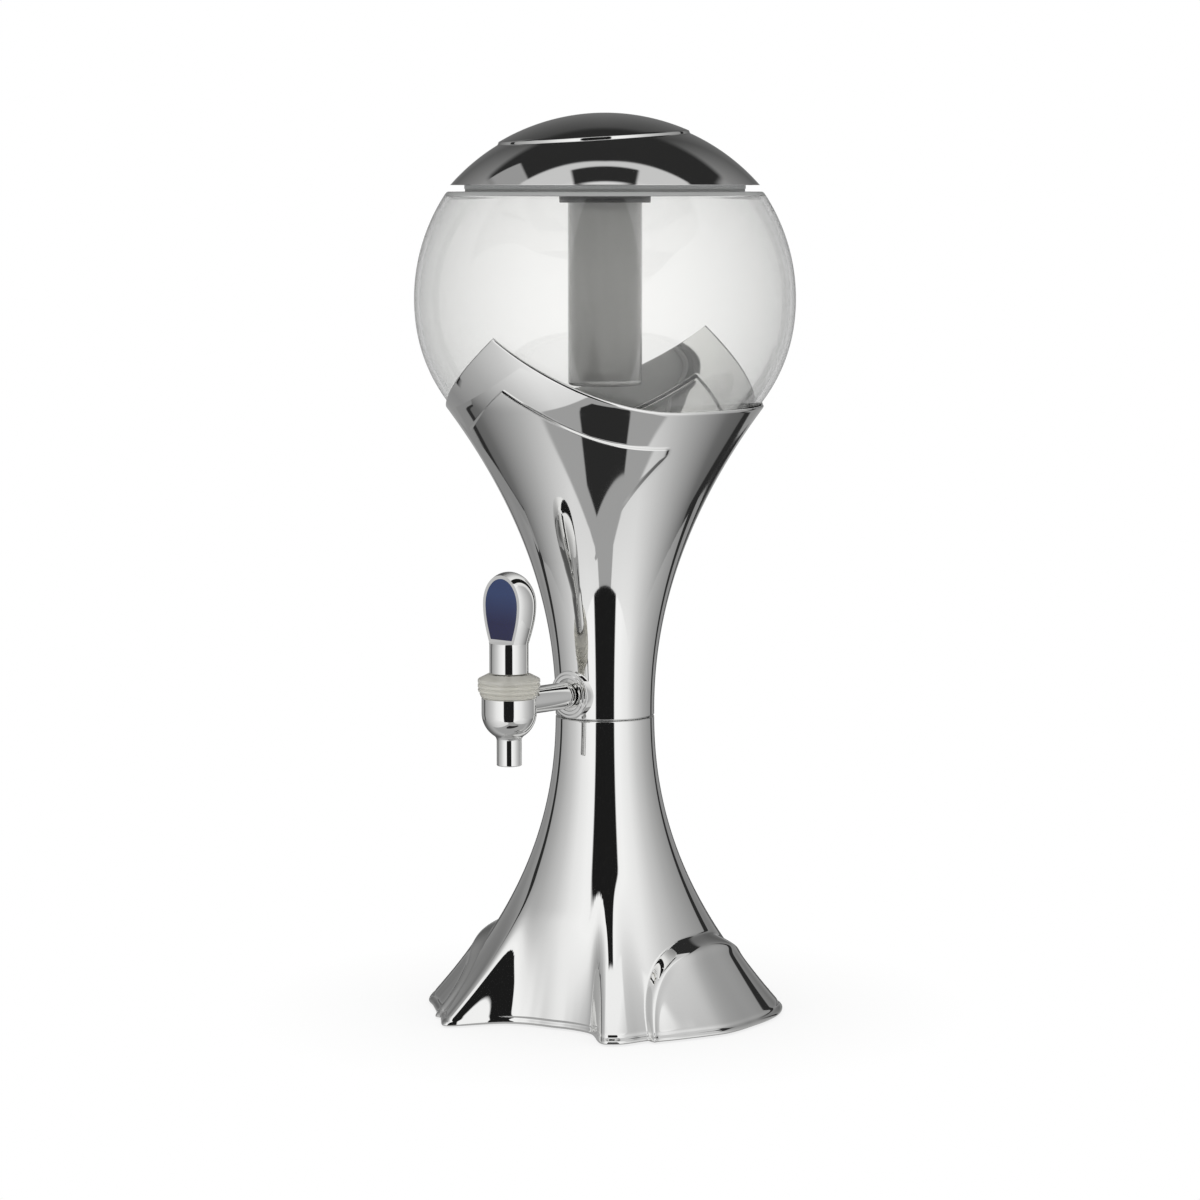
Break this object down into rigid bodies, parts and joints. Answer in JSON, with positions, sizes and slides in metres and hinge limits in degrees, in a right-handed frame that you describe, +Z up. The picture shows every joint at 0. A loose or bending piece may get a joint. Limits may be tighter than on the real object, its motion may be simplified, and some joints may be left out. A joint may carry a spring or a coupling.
{
  "type": "draft beer tower",
  "caption": "Table-top drink dispenser: clear globe with a dome lid and hanging ice tube on a flared chrome stand with petals, leaf panels and a sprung lever tap over a scalloped foot.",
  "frame": {"origin": "on the tower's axis at the table under the rubber feet", "axes": "+Z up along the tower's axis, -Y towards the tap, +X to the right seen from the tap"},
  "size_m": [0.173, 0.173, 0.41],
  "materials": {
    "chrome_plate": "bright chrome plating on moulded plastic",
    "clear_plastic": "polished clear plastic",
    "smoked_plastic": "grey translucent plastic, frosted",
    "frosted_plastic": "translucent ribbed plastic",
    "grey_abs": "moulded",
    "black_plastic": "moulded",
    "white_plastic": "moulded",
    "clear_silicone": "satin silicone",
    "black_rubber": "matt",
    "steel": "bright zinc",
    "ballast_iron": "as cast, painted",
    "blue_enamel": "domed blue resin, plain"
  },
  "bodies": {
    "tower": {"globe": "clear_plastic", "globe_gasket": "black_rubber", "seat_plate": "grey_abs", "globe_locknut": "grey_abs", "beer_hose": "clear_silicone", "hose_clamps": "steel", "cradle": "chrome_plate", "foot": "chrome_plate", "waist_coupler": "grey_abs", "tie_rod": "steel", "rod_top_nut": "steel", "rod_washer": "steel", "rod_nut": "steel", "ballast": "ballast_iron", "base_plate": "black_plastic", "plate_screws": "steel", "rubber_feet": "black_rubber", "tap_body": "chrome_plate", "tap_flange": "chrome_plate", "shank_gasket": "black_rubber", "shank_locknut": "steel", "shank_elbow": "white_plastic", "tap_bonnet": "frosted_plastic", "stem_seal": "black_rubber", "valve_spring": "steel"},
    "lid": {"lid_dome": "chrome_plate", "lid_liner": "grey_abs", "lid_seal": "clear_silicone"},
    "tube": {"ice_tube": "smoked_plastic", "ice_tube_collar": "black_plastic"},
    "lever": {"tap_lever": "chrome_plate", "tap_badge": "blue_enamel"},
    "valve": {"valve_stem": "steel", "stem_pin": "steel", "valve_plug": "black_rubber"}
  },
  "joints": [
    {"name": "lid_lift", "type": "slide", "parent": "tower", "child": "lid", "axis": [0, 0, 1], "range_m": [0, 0.13]},
    {"name": "tube_unscrew", "type": "hinge", "parent": "lid", "child": "tube", "pos_m": [0, 0, 0.33], "axis": [0, 0, 1], "range_deg": [0, 540]},
    {"name": "tap_lever_tilt", "type": "hinge", "parent": "tower", "child": "lever", "pos_m": [0, -0.07275, 0.1613], "axis": [1, 0, 0], "range_deg": [0, 30], "stiffness_Nm_per_rad": 0.5, "springref_deg": -11.46},
    {"name": "valve_lift", "type": "slide", "parent": "tower", "child": "valve", "axis": [0, 0, 1], "range_m": [0, 0.0039], "deforming": ["valve_spring"]}
  ],
  "couplings": [
    {"joint": "valve_lift", "follows": "tap_lever_tilt", "m_per_rad": 0.0074484}
  ]
}
